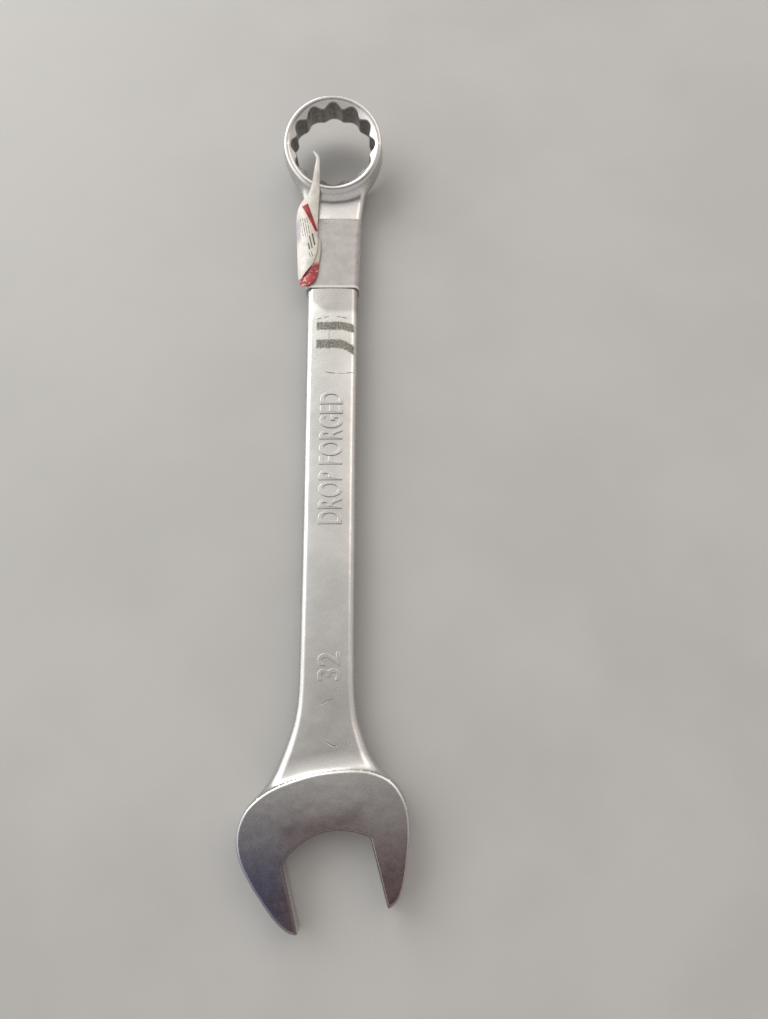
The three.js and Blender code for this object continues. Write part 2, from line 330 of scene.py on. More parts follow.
def settle(field, points, rounds):
    """Moves points onto the field's zero surface."""
    for _ in range(rounds):
        slope = gradient(field, points)
        size = np.maximum((slope ** 2).sum(axis=1), 0.2)
        move = slope * (field(*points.T) / size)[:, None]
        length = np.maximum(np.linalg.norm(move, axis=1), 1e-9)
        points = points - move * np.minimum(1, 0.3 / length)[:, None]
    return points


def even_out(field, points, quads, rounds):
    """Slides points along the surface towards their neighbours' middle, which evens the quads."""
    edges = np.concatenate([quads[:, [k, (k + 1) % 4]] for k in range(4)])
    for _ in range(rounds):
        total, hits = np.zeros_like(points), np.zeros(len(points))
        np.add.at(total, edges[:, 0], points[edges[:, 1]])
        np.add.at(hits, edges[:, 0], 1)
        pull = (total / hits[:, None] - points) * 0.5
        normal = gradient(field, points)
        normal /= np.linalg.norm(normal, axis=1)[:, None]
        pull -= normal * (pull * normal).sum(axis=1)[:, None]
        points = settle(field, points + pull, 1)
    return points


def mesh_object(name, vertices, faces, normals=None):
    mesh = bpy.data.meshes.new(name)
    mesh.from_pydata(vertices.tolist(), [], faces.tolist())
    mesh.polygons.foreach_set("use_smooth", [True] * len(mesh.polygons))
    if normals is not None:
        mesh.normals_split_custom_set_from_vertices(normals.tolist())
    mesh.update()
    piece = bpy.data.objects.new(name, mesh)
    bpy.context.collection.objects.link(piece)
    return piece


def build_forging():
    xs = grid_lines([(-33, 33, FINE_STEP)])
    ys = grid_lines([(-34, 50, FINE_STEP), (50, 246, LONG_STEP), (246, 322, FINE_STEP)])
    zs = grid_lines([(-1, 28, FINE_STEP)])
    vertices, quads = surface_nets(forging_field, xs, ys, zs)
    vertices = settle(forging_field, vertices, 3)
    vertices = even_out(forging_field, vertices, quads, 2)
    vertices = settle(forging_field, vertices, 2)
    normals = gradient(forging_field, vertices)
    normals /= np.linalg.norm(normals, axis=1)[:, None]
    return vertices, quads, normals


forging_vertices, forging_quads, forging_normals = build_forging()

# The CAD film band says where everything goes: it is centred on the shank and starts at
# BAND_START. The CAD forging says where the table's surface is.
band_low, band_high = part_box("label_film_band")
SHIFT = np.array([
    (band_low[0] + band_high[0]) / 2,
    band_low[1] - BAND_START * MM,
    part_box("wrench_forging")[0][2],
])


def place(points):
    """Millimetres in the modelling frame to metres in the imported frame."""
    return np.asarray(points) * MM + SHIFT


def add_attribute(piece, name, values):
    layer = piece.data.attributes.new(name, "FLOAT", "POINT")
    layer.data.foreach_set("value", np.asarray(values, np.float32))


def belongs(piece, node, material):
    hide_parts(node)
    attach(piece, "root")
    piece.data.materials.append(material)


def sharpness(vertices, quads, normals):
    """How strongly the surface bends outwards at each vertex, in 1/mm."""
    bend, hits = np.zeros(len(vertices)), np.zeros(len(vertices))
    for k in range(4):
        a, b = quads[:, k], quads[:, (k + 1) % 4]
        gap = vertices[a] - vertices[b]
        turn = ((normals[a] - normals[b]) * gap).sum(axis=1) / np.maximum((gap ** 2).sum(axis=1), 1e-4)
        for end in (a, b):
            np.add.at(bend, end, turn)
            np.add.at(hits, end, 1)
    return bend / hits


# --- materials --------------------------------------------------------------------------------

class Finish:
    """A material under construction, with short calls that add its nodes and wire them up."""

    def __init__(self, name):
        self.material = bpy.data.materials.new(name)
        self.material.use_nodes = True
        self.nodes = self.material.node_tree.nodes
        self.links = self.material.node_tree.links
        self.shader = self.nodes["Principled BSDF"]
        here = self.nodes.new("ShaderNodeTexCoord").outputs["Object"]
        self.spot = self.vector("SCALE", self.vector("SUBTRACT", here, tuple(SHIFT)), scale=1 / MM)
        split = self.nodes.new("ShaderNodeSeparateXYZ")
        self.wire(split.inputs[0], self.spot)
        self.x, self.y, self.z = split.outputs

    def wire(self, socket, value):
        if isinstance(value, bpy.types.NodeSocket):
            self.links.new(value, socket)
        elif socket.type == "RGBA" and len(value) == 3:
            socket.default_value = (*value, 1)
        else:
            socket.default_value = value

    def set(self, **values):
        for name, value in values.items():
            self.wire(self.shader.inputs[name.replace("_", " ")], value)

    def math(self, operation, *values):
        node = self.nodes.new("ShaderNodeMath")
        node.operation = operation
        for socket, value in zip(node.inputs, values):
            self.wire(socket, value)
        return node.outputs[0]

    def vector(self, operation, a, b=None, scale=None):
        node = self.nodes.new("ShaderNodeVectorMath")
        node.operation = operation
        self.wire(node.inputs[0], a)
        if b is not None:
            self.wire(node.inputs[1], b)
        if scale is not None:
            self.wire(node.inputs["Scale"], scale)
        return node.outputs["Vector"]

    def noise(self, scale, detail=2.0, rough=0.5, spot=None):
        node = self.nodes.new("ShaderNodeTexNoise")
        self.wire(node.inputs["Vector"], spot or self.spot)
        self.wire(node.inputs["Scale"], scale)
        self.wire(node.inputs["Detail"], detail)
        self.wire(node.inputs["Roughness"], rough)
        return node.outputs["Fac"]

    def fade(self, value, start, end, low=0.0, high=1.0):
        """Maps value smoothly from start..end to low..high."""
        node = self.nodes.new("ShaderNodeMapRange")
        node.interpolation_type = "SMOOTHSTEP"
        for socket, given in zip(node.inputs, (value, start, end, low, high)):
            self.wire(socket, given)
        return node.outputs["Result"]

    def mix(self, share, a, b):
        node = self.nodes.new("ShaderNodeMix")
        node.data_type = "RGBA"
        self.wire(node.inputs[0], share)
        self.wire(node.inputs[6], a)
        self.wire(node.inputs[7], b)
        return node.outputs[2]

    def attribute(self, name):
        node = self.nodes.new("ShaderNodeAttribute")
        node.attribute_name = name
        return node.outputs["Fac"]

    def bump(self, *layers):
        """Adds up (height 0..1, depth in mm) layers as one bump after another."""
        normal = None
        for height, depth in layers:
            node = self.nodes.new("ShaderNodeBump")
            self.wire(node.inputs["Distance"], depth * MM)
            self.wire(node.inputs["Height"], height)
            if normal is not None:
                self.wire(node.inputs["Normal"], normal)
            normal = node.outputs["Normal"]
        self.wire(self.shader.inputs["Normal"], normal)

    def all_of(self, *masks):
        whole = masks[0]
        for mask in masks[1:]:
            whole = self.math("MULTIPLY", whole, mask)
        return whole

    def any_of(self, *masks):
        whole = masks[0]
        for mask in masks[1:]:
            whole = self.math("MAXIMUM", whole, mask)
        return whole

    def across(self, middle, toward):
        """Coordinates along and across a line that starts at middle and runs toward a point."""
        length = math.dist(middle, toward)
        ax, ay = (toward[0] - middle[0]) / length, (toward[1] - middle[1]) / length
        dx = self.math("SUBTRACT", self.x, middle[0])
        dy = self.math("SUBTRACT", self.y, middle[1])
        along = self.math("MULTIPLY_ADD", dx, ax, self.math("MULTIPLY", dy, ay))
        beside = self.math("MULTIPLY_ADD", dy, ax, self.math("MULTIPLY", dx, -ay))
        return along, beside

    def stripe(self, start, end, half_width, soft=0.12):
        """A mask for a straight stripe from start to end, seen from above."""
        along, beside = self.across(start, end)
        room = self.math("MINIMUM", along, self.math("SUBTRACT", math.dist(start, end), along))
        room = self.math("MINIMUM", room, self.math("SUBTRACT", half_width, self.math("ABSOLUTE", beside)))
        return self.fade(room, -soft, soft)


# Marks of an old sticker. Bars are (low Y, high Y, sag towards the right), arcs are
# (middle X, middle Y, half length, curve).
RESIDUE_BARS = ((204.4, 208.0, 0.55), (195.5, 199.3, 1.15))
RESIDUE_ENDS = (-6.6, 10.0)
RESIDUE_ARCS = ((1.0, 210.7, 8.0, -0.025), (3.6, 183.2, 6.4, 0.022))


def tape_residue(f):
    """The marks of an old sticker on the shank: two smeared bars, its thin outline and specks."""
    def distance(coordinate, middle):
        return f.math("ABSOLUTE", f.math("SUBTRACT", coordinate, middle))

    smear = f.noise(0.35, 3, 0.6)
    grit = f.noise(2.6, 2, 0.6)
    ragged = f.math("MULTIPLY", f.math("SUBTRACT", f.noise(1.3, 3, 0.7), 0.5), 2.6)
    right = f.math("MAXIMUM", f.math("SUBTRACT", f.x, 2.5), 0)
    sag = f.math("MULTIPLY", f.math("MULTIPLY", right, right), 0.055)
    y = f.math("ADD", f.y, ragged)
    bars = []
    for low, high, bend in RESIDUE_BARS:
        bent = f.math("MULTIPLY_ADD", sag, bend, y)
        room = f.math("MINIMUM", f.math("SUBTRACT", bent, low), f.math("SUBTRACT", high, bent))
        bars.append(f.fade(room, -0.5, 0.1))
    left_end, right_end = RESIDUE_ENDS
    ends = f.math("MINIMUM", f.math("ADD", f.x, -left_end), f.math("SUBTRACT", right_end, f.x))
    broken = f.fade(f.noise(3.4, 3, 0.7), 0.36, 0.48, 0.45, 1.0)
    bar = f.all_of(f.any_of(*bars), f.fade(ends, -0.2, 0.4), f.fade(grit, 0.3, 0.5, 0.6, 1.0), broken)
    lines = []
    for middle, height, half, curve in RESIDUE_ARCS:
        off = f.math("SUBTRACT", f.x, middle)
        arc = f.math("MULTIPLY_ADD", f.math("MULTIPLY", off, off), curve, height)
        miss = f.math("ABSOLUTE", f.math("SUBTRACT", f.y, arc))
        inside = f.fade(f.math("ABSOLUTE", off), half, half - 1.5)
        lines.append(f.all_of(f.fade(miss, 0.36, 0.1), inside, f.fade(smear, 0.42, 0.56)))
    side = f.all_of(
        f.fade(distance(f.x, 10.0), 0.4, 0.15),
        f.fade(distance(f.y, 190), 7.5, 6.5),
        f.fade(smear, 0.45, 0.6),
    )
    crease = f.all_of(f.fade(distance(f.x, -1.0), 0.25, 0.08), f.fade(distance(f.y, 200), 4.5, 3.5))
    specks = f.all_of(
        f.fade(f.noise(1.7, 1), 0.68, 0.74),
        f.fade(distance(f.y, 197), 5, 3),
        f.fade(f.x, 3, 5),
    )
    thin = f.any_of(*lines, side, f.math("MULTIPLY", crease, 0.5))
    on_top = f.fade(f.z, 9.3, 9.9)
    return f.all_of(bar, on_top), f.all_of(thin, on_top), f.all_of(specks, on_top)


# Small nicks in the shank's top face: start, end, half width.
NICKS = (
    ((0.4, 32.7), (2.6, 31.3), 0.14),
    ((2.6, 31.3), (4.3, 31.2), 0.2),
    ((-1.4, 46.2), (0.6, 47.4), 0.12),
    ((0.6, 47.4), (2.8, 47.9), 0.12),
)


def satin_chrome():
    """Satin chrome over a forged skin: fine matt grain, slow waviness, bright worn edges."""
    f = Finish("satin_chrome")
    cloud = f.noise(0.045, 3, 0.55)
    patch = f.noise(0.32, 3, 0.6)
    grain = f.noise(2.4, 3, 0.65)
    fine = f.noise(7.0, 2, 0.6)
    wear = f.fade(f.attribute("sharpness"), 0.3, 1.5)
    bore = f.attribute("bore")
    turned = f.vector("MULTIPLY", f.spot, (1.0, 1.0, 0.06))
    streak = f.noise(1.6, 3, 0.6, turned)
    bar, thin, specks = tape_residue(f)

    scratch = f.noise(1.0, 2, 0.6, f.vector("MULTIPLY", f.spot, (3.2, 0.10, 1.0)))
    scratch = f.fade(scratch, 0.64, 0.72)
    nick = f.any_of(*[f.stripe(*line) for line in NICKS])
    dent = f.fade(f.noise(0.9, 1, 0.5), 0.80, 0.84)

    tone = f.mix(f.fade(cloud, 0.32, 0.68), (0.56, 0.548, 0.532), (0.66, 0.648, 0.63))
    tone = f.mix(f.fade(patch, 0.35, 0.7, 0.0, 0.10), tone, (0.50, 0.485, 0.468))
    tone = f.mix(f.fade(grain, 0.35, 0.7, 0.0, 0.30), tone, (0.42, 0.408, 0.395))
    tone = f.mix(f.math("MULTIPLY", wear, 0.4), tone, (0.78, 0.77, 0.755))
    # The head's top face gets a painted dark reflection of the room, with some tarnish:
    # bluish on the left jaw, brownish on the right one and darkest along the throat.
    head_reflection_and_tarnish = f.all_of(f.fade(f.y, 22.0, -20.0), f.fade(f.z, 11.3, 11.8))
    tone = f.mix(head_reflection_and_tarnish, tone, f.mix(f.fade(f.x, -22.0, -4.0), (0.20, 0.20, 0.28), (0.30, 0.22, 0.23)))
    # The painted dark reflection is darkest in a band along the throat.
    below = f.stripe((-15.0, 1.2), (13.0, 6.5), 3.0, 3.0)
    tone = f.mix(f.all_of(below, f.fade(f.z, *FACE_BAND), 0.6), tone, (0.24, 0.185, 0.195))
    # A painted dark reflection beside the film, with a slanting lower edge.
    slant = f.math("MULTIPLY", f.math("MAXIMUM", f.math("SUBTRACT", -2.0, f.x), 0), -0.85)
    dark_reflection_beside_film = f.math("ADD", f.math("ADD", f.y, slant), f.math("MULTIPLY", cloud, 3.0))
    dark_reflection_beside_film = f.all_of(f.fade(dark_reflection_beside_film, 213.5, 216.5), f.fade(f.y, 262, 259), f.fade(f.x, -11.5, -8.0))
    tone = f.mix(f.math("MULTIPLY", dark_reflection_beside_film, 0.62), tone, (0.31, 0.295, 0.28))
    # Painted shade darkens the top edge of the mouth.
    tone = f.mix(f.math("MULTIPLY", f.attribute("mouth_edge_shade"), 0.8), tone, (0.13, 0.10, 0.105))
    # Painted shade darkens the bore's walls, which are also streaked, rougher and bumpier.
    shaded_wall_tone = f.mix(f.fade(streak, 0.35, 0.65), (0.20, 0.188, 0.165), (0.34, 0.325, 0.30))
    tone = f.mix(bore, tone, shaded_wall_tone)
    damage = f.any_of(f.math("MULTIPLY", nick, 0.8), f.math("MULTIPLY", dent, 0.45))
    tone = f.mix(damage, tone, (0.16, 0.15, 0.14))
    gum = f.mix(f.fade(grain, 0.42, 0.60), (0.022, 0.022, 0.012), (0.19, 0.185, 0.135))
    tone = f.mix(bar, tone, gum)
    tone = f.mix(f.math("MULTIPLY", thin, 0.8), tone, (0.06, 0.058, 0.045))
    tone = f.mix(specks, tone, (0.02, 0.02, 0.018))

    rough = f.fade(patch, 0.3, 0.7, 0.20, 0.235)
    rough = f.math("MULTIPLY_ADD", f.fade(grain, 0.3, 0.7), 0.09, rough)
    rough = f.math("MULTIPLY_ADD", wear, -0.06, rough)
    rough = f.math("MULTIPLY_ADD", f.any_of(bar, bore), 0.16, rough)
    rough = f.math("MULTIPLY_ADD", scratch, -0.05, rough)
    metal = f.math("SUBTRACT", 1.0, f.math("MULTIPLY", f.any_of(bar, specks), 0.85))
    f.set(Base_Color=tone, Roughness=rough, Metallic=metal)
    f.bump(
        (cloud, 0.22), (patch, 0.012), (grain, 0.009), (fine, 0.003),
        (f.math("SUBTRACT", 1.0, nick), 0.05),
        (f.math("SUBTRACT", 1.0, dent), 0.02),
        (f.math("SUBTRACT", 1.0, scratch), 0.0015),
        (f.math("MULTIPLY", bar, grain), 0.03),
        (f.math("MULTIPLY", streak, bore), 0.06),
    )
    return f.material


def frosted_film():
    """Thin clear film, frosted by handling, with a paler cut rim."""
    f = Finish("frosted_film")
    cloud = f.noise(0.22, 3, 0.6)
    crinkle = f.noise(0.55, 3, 0.6, f.vector("MULTIPLY", f.spot, (1.0, 0.45, 1.0)))
    grain = f.noise(3.5, 2, 0.6)
    rim = f.fade(f.y, BAND_START + 1.7, BAND_START + 0.7)
    top = f.fade(f.y, BAND_END - 0.9, BAND_END - 0.4)
    tone = f.mix(f.fade(cloud, 0.35, 0.65), (0.55, 0.515, 0.485), (0.62, 0.59, 0.565))
    tone = f.mix(f.fade(grain, 0.4, 0.7, 0.0, 0.12), tone, (0.50, 0.48, 0.455))
    tone = f.mix(rim, tone, (0.74, 0.715, 0.69))
    tone = f.mix(f.math("MULTIPLY", top, 0.5), tone, (0.30, 0.29, 0.28))
    body = f.fade(cloud, 0.3, 0.7, 0.40, 0.46)
    body = f.math("MAXIMUM", body, f.math("MULTIPLY", f.any_of(rim, top), 0.9))
    f.set(Base_Color=tone, Roughness=f.fade(crinkle, 0.3, 0.7, 0.22, 0.34), Alpha=body)
    f.bump((crinkle, 0.12), (grain, 0.004))
    return f.material


# Plain black bars printed on the label: start, end, half width, softness.
PRINTED_BARS = (
    ((-9.1, 251.2), (-7.9, 245.6), 0.34, 0.1),
    ((-10.3, 249.6), (-9.0, 244.0), 0.26, 0.1),
    ((-10.8, 246.2), (-10.1, 243.2), 0.30, 0.1),
    ((-9.6, 242.2), (-8.6, 240.1), 0.16, 0.08),
    ((-10.4, 241.4), (-9.6, 239.4), 0.16, 0.08),
)


def printed_paper():
    """Coated label paper with plain red and black print and no writing."""
    f = Finish("printed_paper")
    stuck = f.attribute("stuck")
    free = f.math("SUBTRACT", 1.0, stuck)
    fibre = f.noise(1.4, 3, 0.6, f.vector("MULTIPLY", f.spot, (1.0, 0.4, 1.0)))
    cloud = f.noise(0.25, 3, 0.55)
    blot = f.noise(0.42, 2, 0.55)
    red = f.mix(f.fade(blot, 0.35, 0.65), (0.16, 0.008, 0.012), (0.33, 0.016, 0.022))

    tone = f.mix(f.fade(cloud, 0.35, 0.65), (0.60, 0.575, 0.515), (0.72, 0.70, 0.645))
    tone = f.mix(f.fade(fibre, 0.4, 0.75, 0.0, 0.4), tone, (0.56, 0.53, 0.47))
    along, beside = f.across((-12.6, 265.6), (-7.3, 253.2))
    half = f.math("MULTIPLY_ADD", along, -0.06, 1.45)
    wedge = f.math("MINIMUM", f.math("SUBTRACT", half, f.math("ABSOLUTE", beside)), along)
    wedge = f.fade(f.math("MINIMUM", wedge, f.math("SUBTRACT", 13.6, along)), -0.1, 0.1)
    blush = f.stripe((-13.6, 267.4), (-6.9, 252.3), 2.1, 0.9)
    tone = f.mix(f.all_of(blush, free, 0.6), tone, (0.70, 0.47, 0.43))
    tone = f.mix(f.all_of(wedge, free), tone, red)

    left_side = f.fade(f.attribute("across"), 0.30, 0.16)
    shade = f.all_of(left_side, f.fade(f.y, 246, 251), f.fade(f.y, 262, 257), free)
    tone = f.mix(f.math("MULTIPLY", shade, 0.75), tone, (0.36, 0.335, 0.36))
    along, beside = f.across((-13.2, 260.5), (-10.2, 243.5))
    comb = f.fade(f.math("SINE", f.math("MULTIPLY", beside, 6.4)), 0.25, 0.75)
    block = f.all_of(comb, f.fade(along, 1.0, 2.0), f.fade(along, 12.5, 10.5),
                     f.fade(f.math("ABSOLUTE", beside), 2.3, 2.0), f.fade(f.noise(0.9, 1), 0.36, 0.5))
    tone = f.mix(f.all_of(block, free, 0.9), tone, (0.05, 0.058, 0.05))
    strokes = f.any_of(*[f.stripe(*line) for line in PRINTED_BARS])
    tone = f.mix(f.all_of(strokes, free, 0.92), tone, (0.022, 0.022, 0.022))

    low = f.fade(f.y, 238.5, 235.5)
    patch = f.mix(low, (0.42, 0.39, 0.32), (0.60, 0.26, 0.23))
    patch = f.mix(f.all_of(f.fade(f.noise(0.62, 2, 0.6), 0.37, 0.44), low), patch, red)
    tone = f.mix(stuck, tone, patch)
    f.set(Base_Color=tone, Roughness=f.fade(fibre, 0.3, 0.7, 0.42, 0.58))
    f.bump((cloud, 0.25), (fibre, 0.02), (f.noise(6.0, 2), 0.006))
    return f.material


def table_top():
    """A plain pale table with slow, faint changes of tone."""
    f = Finish("floor")
    cloud = f.noise(0.012, 3, 0.55)
    grain = f.noise(0.9, 3, 0.6)
    tone = f.mix(f.fade(cloud, 0.35, 0.65), (0.375, 0.369, 0.357), (0.405, 0.399, 0.387))
    tone = f.mix(f.fade(grain, 0.4, 0.7, 0.0, 0.12), tone, (0.345, 0.338, 0.325))
    f.set(Base_Color=tone, Roughness=f.fade(cloud, 0.3, 0.7, 0.5, 0.62))
    f.bump((grain, 0.02))
    return f.material


# --- the forging ------------------------------------------------------------------------------

chrome = satin_chrome()
forging = mesh_object("wrench_body", place(forging_vertices), forging_quads, forging_normals)
ring_disc, lead_in, bore_wall = ring_field(*forging_vertices.T)
add_attribute(forging, "sharpness", sharpness(forging_vertices, forging_quads, forging_normals))
# Where painted shade darkens the top edge of the mouth.
near_mouth = step(np.abs(head_field(*forging_vertices.T)[1]), 0.95, 0.6)
add_attribute(forging, "mouth_edge_shade", near_mouth * step(forging_vertices[:, 2], 10.9, 11.3))
bore_share = step(bore_wall, -0.25, -0.05) * step(lead_in, -0.3, -0.9)
add_attribute(forging, "bore", np.where(ring_disc < 0.5, bore_share, 0))
belongs(forging, "wrench_forging", chrome)


# --- raised marks on the shank -----------------------------------------------------------------

def shank_top(x, y):
    """Height of the shank's top face."""
    left, right = shank_left(y)[0], shank_right(y)[0]
    across = x / np.where(x < 0, left, right)
    return MID_Z + SHANK_HALF * (1 - SHANK_CROWN * across ** 2)


def raised_mark(name, text, start_y, end_y, top_x, base_x):
    """Raised characters that read along +Y, fitted between start_y and end_y."""
    curve = bpy.data.curves.new(name, "FONT")
    curve.body = text
    curve.size = 10
    curve.resolution_u = 5
    curve.offset = MARK_OFFSET
    curve.extrude = MARK_EXTRUDE
    curve.bevel_depth = MARK_BEVEL
    curve.bevel_resolution = 2
    source = bpy.data.objects.new(name + "_text", curve)
    bpy.context.collection.objects.link(source)
    mesh = source.evaluated_get(bpy.context.evaluated_depsgraph_get()).to_mesh()
    work = bmesh.new()
    work.from_mesh(mesh)
    bmesh.ops.remove_doubles(work, verts=work.verts, dist=0.002)
    bmesh.ops.triangulate(work, faces=[face for face in work.faces if len(face.verts) > 4])
    points = np.array([v.co[:] for v in work.verts])
    low, high = points.min(axis=0), points.max(axis=0)
    reach = (points - low) / (high - low)
    x = base_x - reach[:, 1] * (base_x - top_x)
    y = start_y + reach[:, 0] * (end_y - start_y)
    lift = points[:, 2] - high[2] + MARK_HEIGHT
    placed = place(np.array([x, y, shank_top(x, y) + lift]).T)
    for vert, point in zip(work.verts, placed):
        vert.co = point
    bmesh.ops.recalc_face_normals(work, faces=work.faces)
    result = bpy.data.meshes.new(name)
    work.to_mesh(result)
    work.free()
    source.evaluated_get(bpy.context.evaluated_depsgraph_get()).to_mesh_clear()
    bpy.data.objects.remove(source)
    piece = bpy.data.objects.new(name, result)
    bpy.context.collection.objects.link(piece)
    result.materials.append(chrome)
    add_attribute(piece, "sharpness", np.full(len(result.vertices), 0.35))
    # Painted shade darkens the sides of the characters, as on the bore's wall.
    add_attribute(piece, "bore", step(lift, MARK_HEIGHT - 0.05, MARK_HEIGHT - 0.12))
    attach(piece, "root")


raised_mark("forged_mark", "DROP FORGED", 116.4, 174.6, -4.4, 5.4)
raised_mark("size_number", "32", 54.8, 65.6, -3.4, 5.4)


# --- the film band -------------------------------------------------------------------------------

def film_loop(y, inset):
    """One turn of the film round the shank, looking along +Y."""
    share = (y - BAND_START) / (BAND_END - BAND_START)
    wide = BAND_HALF_WIDTH + BAND_WIDENING * share - inset
    high = SHANK_HALF + BAND_RISE - inset
    corner = BAND_CORNER - inset
    points = []
    for cx, cz, start in ((1, 1, 0), (-1, 1, 90), (-1, -1, 180), (1, -1, 270)):
        for k in range(13):
            angle = math.radians(start + k * 7.5)
            x = cx * (wide - corner) + corner * math.cos(angle)
            z = cz * (high - corner) + corner * math.sin(angle)
            points.append((x, z))
    loop = np.array(points)
    ripple = 0.10 * np.sin(y * 0.55 + loop[:, 0] * 0.35)
    ripple = ripple + 0.07 * np.sin(y * 1.3 - loop[:, 0] * 0.8 + 1.0)
    grow = 1 + ripple[:, None] / np.maximum(np.linalg.norm(loop, axis=1), 4)[:, None]
    loop = loop * grow
    return np.column_stack([loop[:, 0], np.full(len(loop), y), MID_Z + loop[:, 1]])


def skin(rings):
    """Faces between closed rings of points that follow each other."""
    count, size = len(rings), len(rings[0])
    return [(i * size + k, i * size + (k + 1) % size, (i + 1) * size + (k + 1) % size, (i + 1) * size + k)
            for i in range(count - 1) for k in range(size)]


def refine(loop, times=4):
    """Puts extra points between the points of a closed loop."""
    after = np.roll(loop, -1, axis=0)
    parts = [loop + (after - loop) * k / times for k in range(times)]
    return np.stack(parts, axis=1).reshape(-1, 3)


def film_band():
    """The film as rings of points: its outside, then its inside on the way back."""
    stations = np.linspace(BAND_START, BAND_END, 49)
    out = [refine(film_loop(y, 0.0)) for y in stations]
    back = [refine(film_loop(y, FILM)) for y in stations[::-1]]
    rings = out + back + [out[0]]
    faces = np.array(skin(rings))
    size = len(rings[0])
    faces = faces % (size * (len(rings) - 1))
    return np.concatenate(rings[:-1]), faces


band_points, band_faces = film_band()
band = mesh_object("film_band", place(band_points), band_faces)
belongs(band, "label_film_band", frosted_film())


# --- the paper label -----------------------------------------------------------------------------

# Rows across the peeled part, from its lower corner to its tip: left edge, right edge, crown.
PEELED = [
    ((-15.0, 229.9, 8.2), (-13.9, 229.8, 10.0), 0.4),
    ((-15.5, 233.5, 8.5), (-11.3, 232.9, 11.5), 2.0),
    ((-15.7, 237.5, 8.8), (-9.0, 236.2, 11.6), 3.2),
    ((-15.9, 241.5, 9.2), (-7.5, 240.1, 11.6), 4.0),
    ((-16.1, 246.5, 9.8), (-6.7, 245.1, 11.6), 4.6),
    ((-16.4, 251.5, 10.4), (-6.7, 250.6, 11.6), 4.8),
    ((-16.6, 256.5, 11.1), (-6.9, 256.1, 11.7), 4.6),
    ((-16.3, 262.0, 12.1), (-6.7, 261.3, 12.2), 3.8),
    ((-14.8, 266.6, 13.2), (-6.5, 265.8, 13.2), 2.6),
    ((-12.4, 269.5, 14.3), (-6.2, 269.3, 14.4), 1.8),
    ((-10.4, 272.0, 15.5), (-6.0, 272.3, 16.0), 1.2),
    ((-9.2, 275.4, 17.6), (-5.9, 275.8, 17.9), 0.9),
    ((-8.2, 279.7, 19.9), (-5.8, 279.8, 20.1), 0.7),
    ((-7.4, 283.2, 21.3), (-5.8, 283.4, 21.6), 0.5),
    ((-7.5, 285.1, 22.0), (-6.3, 285.7, 22.3), 0.3),
    ((-8.8, 287.6, 22.4), (-8.5, 287.9, 22.5), 0.1),
]
# The part that still sticks to the film, from its lower edge upwards.
STUCK = [
    ((-13.3, 225.6, 10.2), (-10.6, 225.2, 11.2), 0.9),
    ((-14.3, 227.4, 9.8), (-7.9, 227.8, 11.2), 1.5),
    ((-14.2, 230.0, 9.6), (-6.6, 231.5, 11.1), 1.6),
    ((-13.8, 235.0, 9.6), (-5.8, 237.5, 11.1), 1.6),
    ((-13.8, 241.0, 9.6), (-5.3, 244.0, 11.1), 1.6),
    ((-13.6, 247.0, 9.8), (-5.6, 249.0, 11.1), 1.4),
    ((-12.0, 250.0, 10.8), (-7.5, 251.4, 11.1), 0.6),
]


def paper_sheet(rows, along_count, across_count):
    """A closed thin sheet through rows of (left, right, crown)."""
    rows_along = np.linspace(0, len(rows) - 1, along_count)
    across = np.linspace(0, 1, across_count)
    left, right = [np.column_stack([Spline([(i, row[side][c]) for i, row in enumerate(rows)])(rows_along)[0]
                                    for c in range(3)]) for side in (0, 1)]
    crown = Spline([(i, row[2]) for i, row in enumerate(rows)])(rows_along)[0]
    t = across[None, :, None]
    middle = left[:, None] * (1 - t) + right[:, None] * t
    arch = (1 - (2 * across - 1) ** 2)[None, :] * crown[:, None] * 0.5
    curl = 0.10 * np.sin(rows_along * 2.1)[:, None] * np.sin(across * 7.0)[None, :]
    middle[:, :, 2] += arch + curl * np.minimum(crown, 1)[:, None]
    du = np.gradient(middle, axis=1)
    dv = np.gradient(middle, axis=0)
    normal = np.cross(du, dv)
    normal /= np.linalg.norm(normal, axis=2)[:, :, None]
    top = middle + normal * PAPER / 2
    under = middle - normal * PAPER / 2
    size = along_count * across_count
    faces = []
    for i in range(along_count - 1):
        for k in range(across_count - 1):
            a = i * across_count + k
            quad = (a, a + 1, a + across_count + 1, a + across_count)
            faces.append(quad)
            faces.append(tuple(size + v for v in reversed(quad)))
    rim = ([k for k in range(across_count)]
           + [i * across_count + across_count - 1 for i in range(1, along_count)]
           + [(along_count - 1) * across_count + k for k in range(across_count - 2, -1, -1)]
           + [i * across_count for i in range(along_count - 2, 0, -1)])
    for a, b in zip(rim, rim[1:] + rim[:1]):
        faces.append((b, a, size + a, size + b))
    points = np.concatenate([top.reshape(-1, 3), under.reshape(-1, 3)])
    return points, np.array(faces), np.tile(across, 2 * along_count)


def paper_label():
    free, free_faces, free_across = paper_sheet(PEELED, 150, 33)
    held, held_faces, held_across = paper_sheet(STUCK, 60, 25)
    points = np.concatenate([free, held])
    faces = np.concatenate([free_faces, held_faces + len(free)])
    piece = mesh_object("paper_label", place(points), faces)
    add_attribute(piece, "across", np.concatenate([free_across, held_across]))
    add_attribute(piece, "stuck", np.concatenate([np.zeros(len(free)), np.ones(len(held))]))
    return piece


label = paper_label()
belongs(label, "printed_label", printed_paper())


# --- stage, light and camera ---------------------------------------------------------------------

FLOOR = 3.0  # half of the floor's side, in metres
floor_corners = [(-FLOOR, -FLOOR, 0), (FLOOR, -FLOOR, 0), (FLOOR, FLOOR, 0), (-FLOOR, FLOOR, 0)]
floor_mesh = bpy.data.meshes.new("floor")
floor_mesh.from_pydata(floor_corners, [], [(0, 1, 2, 3)])
floor = bpy.data.objects.new("floor", floor_mesh)
bpy.context.collection.objects.link(floor)
floor.data.materials.append(table_top())


